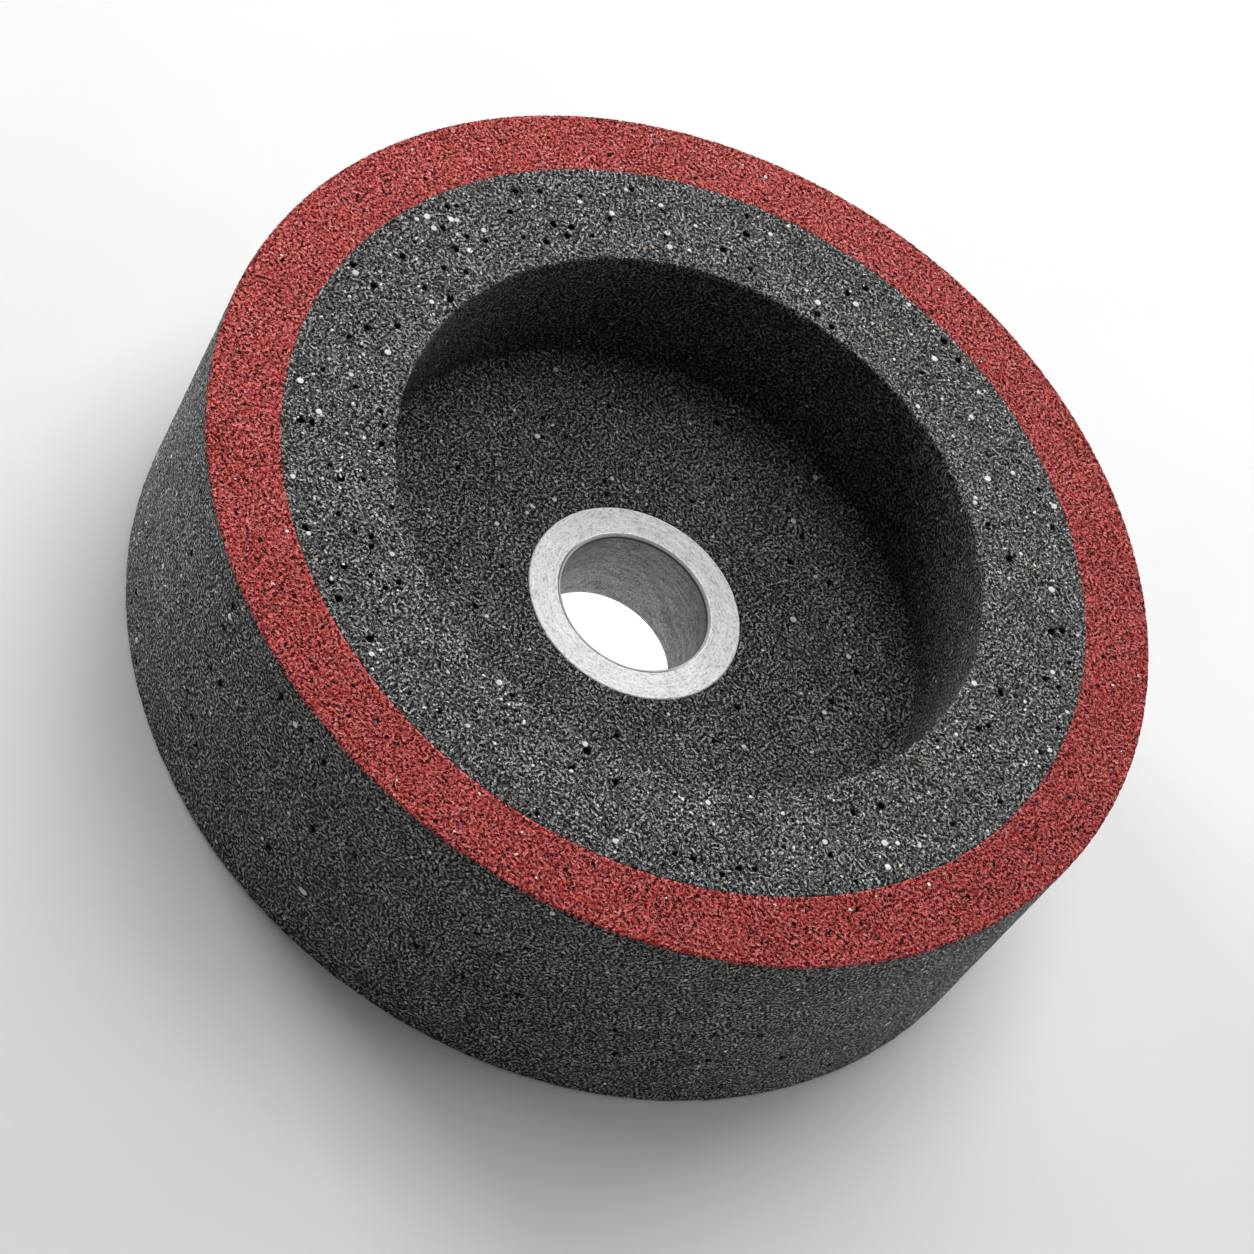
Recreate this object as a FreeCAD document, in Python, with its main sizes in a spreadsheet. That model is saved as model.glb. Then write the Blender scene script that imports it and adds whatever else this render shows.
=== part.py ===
import FreeCAD, Part

import math
import os

import Sketcher

# Recessed grinding wheel: a straight, granular abrasive wheel with one deep round
# recess in its working face, a coat of red abrasive let into the outer rim of that
# face, and a plain turned metal bush in the arbor hole.
#
# Row frame: Z is the arbor axis, Z = 0 is the flat back face on which the wheel lies,
# and the recess opens upwards. All sizes are in millimetres.

doc = FreeCAD.newDocument("grinding_wheel")

# ---------------------------------------------------------------------------
# Driving dimensions
# ---------------------------------------------------------------------------
dims = doc.addObject("Spreadsheet::Sheet", "dims")
dims.Label = "dims"

VALUES = [
    # alias, value, what it is
    ("wheel_diameter", 125.0, "outside diameter of the wheel"),
    ("wheel_thickness", 36.0, "back face to working face"),
    ("recess_diameter", 78.0, "round recess in the working face"),
    ("recess_depth", 20.5, "working face to recess floor"),
    ("recess_corner", 0.8, "radius where the recess wall meets its floor"),
    ("mouth_arris", 0.3, "rounding of the recess mouth"),
    ("rim_arris", 0.3, "rounding of the outer arris on the working face"),
    ("back_arris", 0.6, "rounding of the outer arris on the back face"),
    ("seat_arris", 0.4, "chamfer of the bush seat at the back face"),
    ("band_inside_diameter", 106.8, "inner edge of the red band"),
    ("band_depth", 0.5, "depth of the red coat, one grain"),
    ("bush_diameter", 29.0, "outside of the bush, and its seat"),
    ("bore_diameter", 20.0, "arbor bore of the bush"),
    ("bush_setback", 1.0, "back face of the wheel to the bush's end"),
    ("bore_lead_front", 0.4, "chamfer of the bore on the recess side"),
    ("bore_lead_back", 1.0, "chamfer of the bore at the bush's back end"),
    ("bush_edge", 0.3, "chamfer round the outside of both ends of the bush"),
]
dims.set("A1", "alias")
dims.set("B1", "value")
dims.set("C1", "meaning")
for number, (alias, value, meaning) in enumerate(VALUES, start=2):
    dims.set("A%d" % number, alias)
    dims.set("B%d" % number, repr(value))
    dims.setAlias("B%d" % number, alias)
    dims.set("C%d" % number, meaning)
# Sizes that follow from the others
first_derived = len(VALUES) + 2
DERIVED = [
    ("web_thickness", "=wheel_thickness - recess_depth", "recess floor above the back face"),
    ("bush_length", "=wheel_thickness - recess_depth - bush_setback", "bush, flush with the recess floor"),
    ("band_level", "=wheel_thickness - band_depth", "underside of the red coat"),
]
for number, (alias, formula, meaning) in enumerate(DERIVED, start=first_derived):
    dims.set("A%d" % number, alias)
    dims.set("B%d" % number, formula)
    dims.setAlias("B%d" % number, alias)
    dims.set("C%d" % number, meaning)
doc.recompute()


# ---------------------------------------------------------------------------
# Helpers
# ---------------------------------------------------------------------------
def plane(body, role):
    """The origin plane of this body that has the given role."""
    for feature in body.Origin.OriginFeatures:
        if feature.Role == role:
            return feature
    raise RuntimeError("%s has no %s" % (body.Label, role))


def round_sketch(body, name, diameters, level=None):
    """A sketch of circles about the axis on the body's XY plane, raised to level.

    Each circle's diameter is an expression of the sheet's cells.
    """
    sketch = body.newObject("Sketcher::SketchObject", name)
    sketch.AttachmentSupport = [(plane(body, "XY_Plane"), "")]
    sketch.MapMode = "FlatFace"
    if level:
        sketch.setExpression("AttachmentOffset.Base.z", level)
    for index, (label, formula) in enumerate(diameters):
        geometry = sketch.addGeometry(
            Part.Circle(FreeCAD.Vector(0, 0, 0), FreeCAD.Vector(0, 0, 1), 10.0 + 5.0 * index),
            False,
        )
        sketch.addConstraint(Sketcher.Constraint("Coincident", geometry, 3, -1, 1))
        constraint = sketch.addConstraint(Sketcher.Constraint("Diameter", geometry, 20.0 + 10.0 * index))
        sketch.renameConstraint(constraint, label)
        sketch.setExpression("Constraints." + label, formula)
    doc.recompute()
    return sketch


def volume(body):
    doc.recompute()
    return body.Shape.Volume


def round_edges(feature, radius, level):
    """Names of the full circular edges of a feature with this radius at this height."""
    names = []
    for index, edge in enumerate(feature.Shape.Edges, start=1):
        curve = edge.Curve
        if (
            isinstance(curve, Part.Circle)
            and abs(curve.Radius - radius) < 1e-4
            and abs(curve.Center.z - level) < 1e-4
        ):
            names.append("Edge%d" % index)
    if not names:
        raise RuntimeError("%s has no round edge of radius %g at %g" % (feature.Label, radius, level))
    return names


def dress(body, kind, name, feature, edges, size, formula):
    """A fillet or chamfer on edges of the body's last feature, bound to the sheet."""
    dressed = body.newObject("PartDesign::" + kind, name)
    dressed.Base = (feature, edges)
    setattr(dressed, size, 0.1)
    dressed.setExpression(size, formula)
    doc.recompute()
    return dressed


def expect(found, wanted, what):
    """A cut or pad that points the wrong way changes nothing, so each step's volume is compared."""
    if abs(found - wanted) > 1e-6 * abs(wanted) + 0.01:
        raise RuntimeError("%s: volume %.3f, expected %.3f" % (what, found, wanted))
    print("%-28s %12.2f mm3" % (what, found))


D = dims.wheel_diameter
T = dims.wheel_thickness
RECESS_D = dims.recess_diameter
RECESS_H = dims.recess_depth
WEB = dims.web_thickness
BAND_D = dims.band_inside_diameter
BAND_H = dims.band_depth
BUSH_D = dims.bush_diameter
BORE_D = dims.bore_diameter
BUSH_H = dims.bush_length


def disc(diameter, height):
    return math.pi * diameter * diameter / 4.0 * height


# ---------------------------------------------------------------------------
# Abrasive body: pressed and fired blank with the recess, the bush seat and a
# shallow rebate for the red coat
# ---------------------------------------------------------------------------
wheel = doc.addObject("PartDesign::Body", "abrasive_body")
wheel.Label = "abrasive_body"

blank_outline = round_sketch(wheel, "blank_outline", [("outside", "dims.wheel_diameter")])
blank = wheel.newObject("PartDesign::Pad", "blank")
blank.Profile = blank_outline
blank.Length = 10.0
blank.setExpression("Length", "dims.wheel_thickness")
expect(volume(wheel), disc(D, T), "blank")

recess_outline = round_sketch(
    wheel, "recess_outline", [("recess", "dims.recess_diameter")], "dims.wheel_thickness"
)
recess = wheel.newObject("PartDesign::Pocket", "recess")
recess.Profile = recess_outline
recess.Type = "Length"
recess.Length = 5.0
recess.setExpression("Length", "dims.recess_depth")
expect(volume(wheel), disc(D, T) - disc(RECESS_D, RECESS_H), "recess cut")

seat_outline = round_sketch(
    wheel, "seat_outline", [("seat", "dims.bush_diameter")], "dims.web_thickness"
)
seat = wheel.newObject("PartDesign::Pocket", "bush_seat")
seat.Profile = seat_outline
seat.Type = "ThroughAll"
expect(
    volume(wheel),
    disc(D, T) - disc(RECESS_D, RECESS_H) - disc(BUSH_D, WEB),
    "bush seat cut",
)

rebate_outline = round_sketch(
    wheel,
    "rebate_outline",
    [("inner", "dims.band_inside_diameter"), ("outer", "dims.wheel_diameter + 10")],
    "dims.wheel_thickness",
)
rebate = wheel.newObject("PartDesign::Pocket", "band_rebate")
rebate.Profile = rebate_outline
rebate.Type = "Length"
rebate.Length = 1.0
rebate.setExpression("Length", "dims.band_depth")
expect(
    volume(wheel),
    disc(D, T)
    - disc(RECESS_D, RECESS_H)
    - disc(BUSH_D, WEB)
    - (disc(D, BAND_H) - disc(BAND_D, BAND_H)),
    "band rebate cut",
)

before = wheel.Shape.Volume
floor_corner = dress(
    wheel,
    "Fillet",
    "recess_corner",
    rebate,
    round_edges(rebate, RECESS_D / 2.0, WEB),
    "Radius",
    "dims.recess_corner",
)
mouth = dress(
    wheel,
    "Fillet",
    "mouth_arris",
    floor_corner,
    round_edges(floor_corner, RECESS_D / 2.0, T),
    "Radius",
    "dims.mouth_arris",
)
back_edge = dress(
    wheel,
    "Fillet",
    "back_arris",
    mouth,
    round_edges(mouth, D / 2.0, 0.0),
    "Radius",
    "dims.back_arris",
)
seat_edge = dress(
    wheel,
    "Chamfer",
    "seat_arris",
    back_edge,
    round_edges(back_edge, BUSH_D / 2.0, 0.0),
    "Size",
    "dims.seat_arris",
)
wheel.Tip = seat_edge
after = volume(wheel)
if not 0.998 * before < after < 1.002 * before or after == before:
    raise RuntimeError("the arrises changed the body from %.2f to %.2f" % (before, after))
print("%-28s %12.2f mm3" % ("abrasive body with arrises", after))


# ---------------------------------------------------------------------------
# Red band: one grain deep ring of red abrasive, flush in the working face and
# running out to the wheel's outer arris
# ---------------------------------------------------------------------------
band = doc.addObject("PartDesign::Body", "red_face_band")
band.Label = "red_face_band"
band_outline = round_sketch(
    band,
    "band_outline",
    [("inner", "dims.band_inside_diameter"), ("outer", "dims.wheel_diameter")],
)
coat = band.newObject("PartDesign::Pad", "coat")
coat.Profile = band_outline
coat.Length = 1.0
coat.setExpression("Length", "dims.band_depth")
expect(volume(band), disc(D, BAND_H) - disc(BAND_D, BAND_H), "red coat")
rim = dress(
    band,
    "Fillet",
    "rim_arris",
    coat,
    round_edges(coat, D / 2.0, BAND_H),
    "Radius",
    "dims.rim_arris",
)
band.Tip = rim
band.Placement = FreeCAD.Placement()
band.setExpression("Placement.Base.z", "dims.band_level")


# ---------------------------------------------------------------------------
# Arbor bush: plain turned sleeve, flush with the recess floor and set back a
# little from the wheel's back face
# ---------------------------------------------------------------------------
bush = doc.addObject("PartDesign::Body", "arbor_bush")
bush.Label = "arbor_bush"
bush_outline = round_sketch(
    bush,
    "bush_outline",
    [("bore", "dims.bore_diameter"), ("outside", "dims.bush_diameter")],
)
sleeve = bush.newObject("PartDesign::Pad", "sleeve")
sleeve.Profile = bush_outline
sleeve.Length = 5.0
sleeve.setExpression("Length", "dims.bush_length")
expect(volume(bush), disc(BUSH_D, BUSH_H) - disc(BORE_D, BUSH_H), "sleeve")
before = bush.Shape.Volume
lead_front = dress(
    bush,
    "Chamfer",
    "bore_lead_front",
    sleeve,
    round_edges(sleeve, BORE_D / 2.0, BUSH_H),
    "Size",
    "dims.bore_lead_front",
)
lead_back = dress(
    bush,
    "Chamfer",
    "bore_lead_back",
    lead_front,
    round_edges(lead_front, BORE_D / 2.0, 0.0),
    "Size",
    "dims.bore_lead_back",
)
outer_edges = dress(
    bush,
    "Chamfer",
    "bush_edge",
    lead_back,
    round_edges(lead_back, BUSH_D / 2.0, 0.0) + round_edges(lead_back, BUSH_D / 2.0, BUSH_H),
    "Size",
    "dims.bush_edge",
)
bush.Tip = outer_edges
after = volume(bush)
if not 0.97 * before < after < before:
    raise RuntimeError("the chamfers changed the bush from %.2f to %.2f" % (before, after))
print("%-28s %12.2f mm3" % ("bush with chamfers", after))
bush.Placement = FreeCAD.Placement()
bush.setExpression("Placement.Base.z", "dims.bush_setback")

doc.recompute()

# ---------------------------------------------------------------------------
# Check everything, then write one file per piece
# ---------------------------------------------------------------------------
SUBPARTS = [wheel, band, bush]

for item in doc.Objects:
    for flag in item.State:
        if flag in ("Invalid", "Error"):
            raise RuntimeError("%s is %s" % (item.Label, flag))
for item in SUBPARTS:
    shape = item.Shape
    if shape.isNull() or not shape.isValid() or len(shape.Solids) != 1:
        raise RuntimeError("%s is not one valid solid" % item.Label)

os.makedirs("parts", exist_ok=True)
for item in SUBPARTS:
    box = item.Shape.BoundBox
    print(
        "%-16s %10.1f mm3   x %.2f..%.2f  z %.2f..%.2f"
        % (item.Label, item.Shape.Volume, box.XMin, box.XMax, box.ZMin, box.ZMax)
    )
    item.Shape.exportStep(os.path.join("parts", item.Label + ".step"))
print("wrote %d parts" % len(SUBPARTS))
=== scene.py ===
import math

import bpy
import numpy as np
from mathutils import Matrix, Vector
from mathutils.geometry import delaunay_2d_cdt


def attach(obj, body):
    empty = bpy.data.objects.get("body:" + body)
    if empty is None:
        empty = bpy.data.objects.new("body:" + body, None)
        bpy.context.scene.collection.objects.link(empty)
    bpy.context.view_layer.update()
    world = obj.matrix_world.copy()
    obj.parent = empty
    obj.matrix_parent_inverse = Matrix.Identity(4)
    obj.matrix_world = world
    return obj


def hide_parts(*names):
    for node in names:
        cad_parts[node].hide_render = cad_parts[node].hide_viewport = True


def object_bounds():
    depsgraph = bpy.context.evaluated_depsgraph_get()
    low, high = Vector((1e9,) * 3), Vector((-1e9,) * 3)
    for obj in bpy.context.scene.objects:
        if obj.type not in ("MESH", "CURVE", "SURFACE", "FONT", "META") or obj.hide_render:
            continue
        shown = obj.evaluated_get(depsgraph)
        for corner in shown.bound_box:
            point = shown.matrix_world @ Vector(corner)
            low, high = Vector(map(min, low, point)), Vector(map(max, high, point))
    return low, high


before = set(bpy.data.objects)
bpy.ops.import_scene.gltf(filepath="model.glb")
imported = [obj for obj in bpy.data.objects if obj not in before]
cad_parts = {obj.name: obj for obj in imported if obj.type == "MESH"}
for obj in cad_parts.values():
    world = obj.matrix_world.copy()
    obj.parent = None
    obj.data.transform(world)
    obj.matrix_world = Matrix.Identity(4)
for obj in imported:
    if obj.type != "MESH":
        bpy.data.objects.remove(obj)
cad_low, cad_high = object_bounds()
cad_low, cad_high = list(cad_low), list(cad_high)

SCENE = bpy.context.scene
MM = 0.001
TAU = 2.0 * math.pi

# Sizes of the wheel in millimetres, as in the CAD pieces
RIM = 62.5          # outside radius
TOP = 36.0          # working face
RECESS = 39.0       # recess radius
FLOOR = 15.5        # recess floor
BAND_IN = 53.4      # inner edge of the red band
BAND_Z = 35.5       # underside of the red band
SEAT = 14.5         # bush outside
BORE = 10.0
BUSH_LOW = 1.0
ARRIS = 0.3
MOUTH = 0.3
BACK_ARRIS = 0.6
CORNER = 0.8
SEAT_ARRIS = 0.4

# ---------------------------------------------------------------------------
# Camera: the photograph's angle to the wheel
# ---------------------------------------------------------------------------
cam_data = bpy.data.cameras.new("camera")
cam_data.sensor_width = 36.0
cam_data.lens = 102.942
cam_data.clip_start, cam_data.clip_end = 0.01, 50.0
camera = bpy.data.objects.new("camera", cam_data)
SCENE.collection.objects.link(camera)
forward = Vector((0.002097, 0.646487, -0.762922)).normalized()
right = Vector((0.819996, 0.435561, 0.371340))
right = (right - forward * right.dot(forward)).normalized()
up = right.cross(forward)
camera.matrix_world = Matrix((
    (right.x, up.x, -forward.x, 0.0),
    (right.y, up.y, -forward.y, -0.297225),
    (right.z, up.z, -forward.z, 0.325211 + TOP * MM),
    (0.0, 0.0, 0.0, 1.0),
))
SCENE.camera = camera


# ---------------------------------------------------------------------------
# Meshes of revolution with an irregular, grain-sized net of triangles
# ---------------------------------------------------------------------------
class Lathe:
    """A closed surface of revolution made ring by ring.

    Each ring has as many points as its own length needs, so the net is equally fine
    everywhere in a zone. Every point has a depth below the true surface.
    """

    def __init__(self, seed):
        self.rng = np.random.RandomState(seed)
        self.rings = []
        self.fields = []

    def ring(self, r, z, normal, spacing, zone, tangent=(0.0, 0.0), slide=0.0, jitter=0.0, count=None, angles=None):
        n = count or max(24, int(round(TAU * r / spacing)))
        if angles is None:
            step = TAU / n
            phase = self.rng.rand() * 0.8 + 0.1
            angles = (np.arange(n) + phase + (self.rng.rand(n) - 0.5) * 0.9 * jitter) * step
        else:
            n = len(angles)
        offset = (self.rng.rand(n) - 0.5) * slide if slide else np.zeros(n)
        self.rings.append(dict(r=r, z=z, normal=normal, n=n, zone=zone, angles=angles, off=offset, tangent=tangent))

    def run(self, a, b, normal, spacing, zone, first=True, last=True, jitter=0.8):
        """Rings from a to b, both (r, z), with the given spacing."""
        length = math.hypot(b[0] - a[0], b[1] - a[1])
        rows = max(1, int(round(length / (0.87 * spacing))))
        tangent = ((b[0] - a[0]) / length, (b[1] - a[1]) / length)
        for i in range(0 if first else 1, rows + 1 if last else rows):
            t = i / rows
            inner = 0 < i < rows
            self.ring(
                a[0] + (b[0] - a[0]) * t, a[1] + (b[1] - a[1]) * t, normal, spacing, zone,
                tangent, 0.55 * length / rows * jitter if inner else 0.0, jitter if inner else 0.4 * jitter,
            )

    def arc(self, centre, radius, start, end, steps, spacing, zone, jitter=0.5):
        """Rings round a fillet, from angle start to end in the (r, z) plane, ends left out."""
        for i in range(1, steps):
            a = math.radians(start + (end - start) * i / steps)
            side = (math.cos(a), math.sin(a))
            sign = 1.0
            if zone.endswith("hollow"):
                sign = -1.0
            self.ring(
                centre[0] + radius * side[0], centre[1] + radius * side[1],
                (sign * side[0], sign * side[1]), spacing, zone, jitter=jitter,
            )

    def field(self, a, b, normal, spacing, zone, pits=(), jitter=0.8):
        """Scattered points from the ring before to the ring after, both at (r, z), closer together round each pit.

        A pit is (angle, place along a to b, radius, depth), all in millimetres but the angle.
        """
        length = math.hypot(b[0] - a[0], b[1] - a[1])
        rows = max(2, int(round(length / (0.87 * spacing))))
        tube = a[0] == b[0]
        theta, along = [], []
        for i in range(1, rows):
            t = length * i / rows
            r = a[0] + (b[0] - a[0]) * t / length
            n = int(round(TAU * r / spacing))
            theta.append((np.arange(n) + self.rng.rand() + (self.rng.rand(n) - 0.5) * 0.9 * jitter) * TAU / n)
            along.append(t + (self.rng.rand(n) - 0.5) * 0.55 * jitter * length / rows)
        theta, along = np.concatenate(theta) % TAU, np.concatenate(along)

        def flat(theta, along):
            if tube:
                return np.stack([theta * a[0], along], 1)
            r = a[0] + (b[0] - a[0]) / length * along
            return np.stack([r * np.cos(theta), r * np.sin(theta)], 1)

        plane = flat(theta, along)
        keep = np.ones(len(theta), bool)
        extra = []
        for angle, place, radius, deep in pits:
            centre = flat(np.array([angle]), np.array([place]))[0]
            d = plane - centre
            if tube:
                turn = TAU * a[0]
                d[:, 0] = (d[:, 0] + turn / 2) % turn - turn / 2
            keep &= np.hypot(d[:, 0], d[:, 1]) > 1.30 * radius + 0.08
            u = self.rng.rand(6)
            levels = (
                [(0.0, 1, 1.0, 1.0), (0.38, 5, 0.97, 1.0), (0.74, 9, 0.82, 1.0), (0.98, 13, 0.10, 0.22), (1.22, 13, 0.0, 0.0)]
                if radius > 0.21 else [(0.0, 1, 1.0, 1.0), (0.60, 6, 0.80, 1.0), (1.05, 8, 0.06, 0.1)]
            )
            for share, count, down, mark in levels:
                phi = (np.arange(count) + self.rng.rand() + 0.4 * (self.rng.rand(count) - 0.5)) * TAU / count
                out = 1.0 + 0.20 * u[0] * np.cos(2 * (phi - TAU * u[1])) + 0.12 * u[2] * np.cos(3 * (phi - TAU * u[3]))
                out = radius * share * out * (1.0 + 0.10 * (self.rng.rand(count) - 0.5))
                x, y = centre[0] + out * np.cos(phi), centre[1] + out * np.sin(phi)
                if tube:
                    angle_k, along_k = (x / a[0]) % TAU, y
                else:
                    angle_k = np.arctan2(y, x) % TAU
                    along_k = (np.hypot(x, y) - a[0]) * length / (b[0] - a[0])
                extra.append(np.stack([angle_k, along_k, np.full(count, down * deep), np.full(count, mark)], 1))
        extra = np.concatenate(extra) if extra else np.zeros((0, 4))
        base = np.stack([theta[keep], along[keep], np.full(keep.sum(), -1.0), np.zeros(keep.sum())], 1)
        every = np.concatenate([base, extra])
        n = len(every)
        step = ((b[0] - a[0]) / length, (b[1] - a[1]) / length)
        self.fields.append(dict(
            after=len(self.rings) - 1, tube=tube, normal=normal, n=n, zone=zone, angles=every[:, 0],
            r=a[0] + step[0] * every[:, 1], z=a[1] + step[1] * every[:, 1], down=every[:, 2], mark=every[:, 3],
        ))

    def points(self):
        """Arrays for every point: angle, r, z, normal and zone number, rings first, then fields."""
        self.zones = []
        for k in self.rings + self.fields:
            if k["zone"] not in self.zones:
                self.zones.append(k["zone"])
        cat = np.concatenate
        every = self.rings + self.fields
        self.theta = cat([k["angles"] for k in every])
        self.r = cat([k["r"] + k["tangent"][0] * k["off"] for k in self.rings] + [k["r"] for k in self.fields])
        self.z = cat([k["z"] + k["tangent"][1] * k["off"] for k in self.rings] + [k["z"] for k in self.fields])
        self.nr = cat([np.full(k["n"], k["normal"][0]) for k in every])
        self.nz = cat([np.full(k["n"], k["normal"][1]) for k in every])
        self.zone = cat([np.full(k["n"], self.zones.index(k["zone"])) for k in every])
        in_rings = sum(k["n"] for k in self.rings)
        self.down = cat([np.full(in_rings, -1.0)] + [k["down"] for k in self.fields])
        self.pit = cat([np.zeros(in_rings)] + [k["mark"] for k in self.fields])
        self.depth = np.zeros(len(self.theta))
        self.start = np.concatenate([[0], np.cumsum([k["n"] for k in every])])

    def of(self, *names):
        keep = np.zeros(len(self.theta), bool)
        for name in names:
            if name in self.zones:
                keep |= self.zone == self.zones.index(name)
        return keep

    def nominal(self):
        return np.stack([self.r * np.cos(self.theta), self.r * np.sin(self.theta), self.z], 1)

    def normals(self):
        return np.stack([self.nr * np.cos(self.theta), self.nr * np.sin(self.theta), self.nz], 1)

    def triangles(self):
        out = []
        m = len(self.rings)
        filled = {k["after"]: i for i, k in enumerate(self.fields)}
        for i in range(m):
            j = (i + 1) % m
            if i in filled:
                out.append(self.fill(i, j, filled[i]))
                continue
            a, b = self.rings[i]["angles"], self.rings[j]["angles"]
            na, nb = len(a), len(b)
            sa, sb = self.start[i], self.start[j]
            ea = (a + np.append(a[1:], a[0] + TAU)) / 2
            eb = (b + np.append(b[1:], b[0] + TAU)) / 2
            ja = np.arange(na)
            jb = np.arange(nb)
            ca = np.searchsorted(ea, eb) % na
            cb = np.searchsorted(eb, ea, side="right") % nb
            out.append(np.stack([sa + ja, sa + (ja + 1) % na, sb + cb], 1))
            out.append(np.stack([sb + (jb + 1) % nb, sb + jb, sa + ca], 1))
        return np.concatenate(out)

    def fill(self, i, j, f):
        """Triangles of a field and the two rings that bound it."""
        k = len(self.rings) + f
        tube = self.fields[f]["tube"]
        ids = np.concatenate([
            np.arange(self.start[i], self.start[i + 1]), np.arange(self.start[j], self.start[j + 1]),
            np.arange(self.start[k], self.start[k + 1]),
        ])
        na, nb = self.rings[i]["n"], self.rings[j]["n"]
        ring_r = self.rings[i]["r"]
        if tube:
            turn = TAU * ring_r
            x, y = (self.theta[ids] % TAU) * ring_r, self.z[ids]
            near = 4.0
            low, high = x < near, x > turn - near
            ids = np.concatenate([ids, ids[low], ids[high]])
            x, y = np.concatenate([x, x[low] + turn, x[high] - turn]), np.concatenate([y, y[low], y[high]])
            edges = []
        else:
            x, y = self.r[ids] * np.cos(self.theta[ids]), self.r[ids] * np.sin(self.theta[ids])
            edges = [(v, (v + 1) % na) for v in range(na)] + [(na + v, na + (v + 1) % nb) for v in range(nb)]
        found = delaunay_2d_cdt([Vector(p) for p in zip(x.tolist(), y.tolist())], edges, [], 0, 1e-7)
        back = np.array([o[0] for o in found[3]])
        tris = back[np.array(found[2])]
        cx, cy = x[tris].mean(1), y[tris].mean(1)
        if tube:
            tris = tris[(cx >= 0.0) & (cx < turn)]
            upward = self.fields[f]["normal"][0] > 0
        else:
            inner = min(self.rings[i]["r"], self.rings[j]["r"])
            ring = (tris < na).all(1) if inner == self.rings[i]["r"] else ((tris >= na) & (tris < na + nb)).all(1)
            tris = tris[~(ring & (np.hypot(cx, cy) < inner))]
            upward = self.fields[f]["normal"][1] > 0
        tris = ids[tris]
        return tris if upward else tris[:, ::-1]

    def mesh(self, name, flat_zones=()):
        self.co = (self.nominal() - self.normals() * self.depth[:, None]) * MM
        tris = self.triangles()
        mesh = bpy.data.meshes.new(name)
        mesh.vertices.add(len(self.co))
        mesh.vertices.foreach_set("co", self.co.astype(np.float32).ravel())
        mesh.loops.add(len(tris) * 3)
        mesh.loops.foreach_set("vertex_index", tris.astype(np.int32).ravel())
        mesh.polygons.add(len(tris))
        mesh.polygons.foreach_set("loop_start", np.arange(0, len(tris) * 3, 3, dtype=np.int32))
        mesh.update(calc_edges=True)
        flat = self.of(*flat_zones)
        smooth = ~(flat[tris].all(1))
        mesh.polygons.foreach_set("use_smooth", smooth)
        pit = mesh.attributes.new("pit", "FLOAT", "POINT")
        pit.data.foreach_set("value", self.pit.astype(np.float32))
        mesh.validate()
        mesh.update()
        ob = bpy.data.objects.new(name, mesh)
        SCENE.collection.objects.link(ob)
        return ob


def smoothstep(a, b, x):
    t = np.clip((x - a) / (b - a), 0.0, 1.0)
    return t * t * (3.0 - 2.0 * t)


def pits_for(seed, r0, r1, length, wanted, favour=None, clear=0.9):
    """Pits that keep apart: (angle, place along the zone, radius, depth). wanted is (count, smallest, largest, depth)."""
    rng = np.random.RandomState(seed)
    out, where = [], []
    turn = TAU * r0
    for count, small, large, deep in wanted:
        tries = 0
        made = 0
        while made < count and tries < 40 * count:
            tries += 1
            radius = small + (large - small) * rng.rand() ** 1.6
            angle = rng.rand() * TAU
            if r0 == r1:
                place = clear + rng.rand() * (length - 2 * clear)
                at = (angle * r0, place)
            else:
                lo, hi = min(r0, r1) + clear, max(r0, r1) - clear
                r = math.sqrt(lo * lo + rng.rand() * (hi * hi - lo * lo))
                place = abs(r - r0)
                at = (r * math.cos(angle), r * math.sin(angle))
            if favour is not None and rng.rand() > favour(angle, 0.0):
                continue
            if where:
                d = np.array([w[:2] for w in where]) - at
                if r0 == r1:
                    d[:, 0] = (d[:, 0] + turn / 2) % turn - turn / 2
                if (np.hypot(d[:, 0], d[:, 1]) < 1.35 * (radius + np.array([w[2] for w in where])) + 0.12).any():
                    continue
            where.append((at[0], at[1], radius))
            out.append((angle, place, radius, deep * (0.7 + 0.6 * rng.rand()) * min(1.0, radius / 0.3)))
            made += 1
    return out


def on_disc(rng, count, r0, r1, z, favour=None):
    """Random points on a flat ring; favour(angle, r) from 0 to 1 thins them out."""
    out = []
    while len(out) < count:
        r = math.sqrt(r0 * r0 + rng.rand() * (r1 * r1 - r0 * r0))
        a = rng.rand() * TAU
        if favour is None or rng.rand() < favour(a, r):
            out.append((r * math.cos(a), r * math.sin(a), z))
    return out


def on_tube(rng, count, r, z0, z1):
    out = []
    for _ in range(count):
        a = rng.rand() * TAU
        out.append((r * math.cos(a), r * math.sin(a), z0 + rng.rand() * (z1 - z0)))
    return out


def left_side(a, r):
    """More pores towards the side at 150 to 240 degrees, where the pressing is more open."""
    return 0.35 + 0.65 * max(0.0, math.cos(a - math.radians(190.0)))


# Shared rings where the body and the red band meet
shared = np.random.RandomState(5)


def shared_angles(r, spacing):
    n = int(round(TAU * r / spacing))
    return (np.arange(n) + 0.5 + (shared.rand(n) - 0.5) * 0.5) * TAU / n


inner_angles = shared_angles(BAND_IN, 0.30)
outer_angles = shared_angles(RIM, 0.42)
inner_depth = 0.02 + 0.10 * shared.rand(len(inner_angles)) ** 2
outer_depth = 0.01 + 0.09 * shared.rand(len(outer_angles)) ** 2

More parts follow.
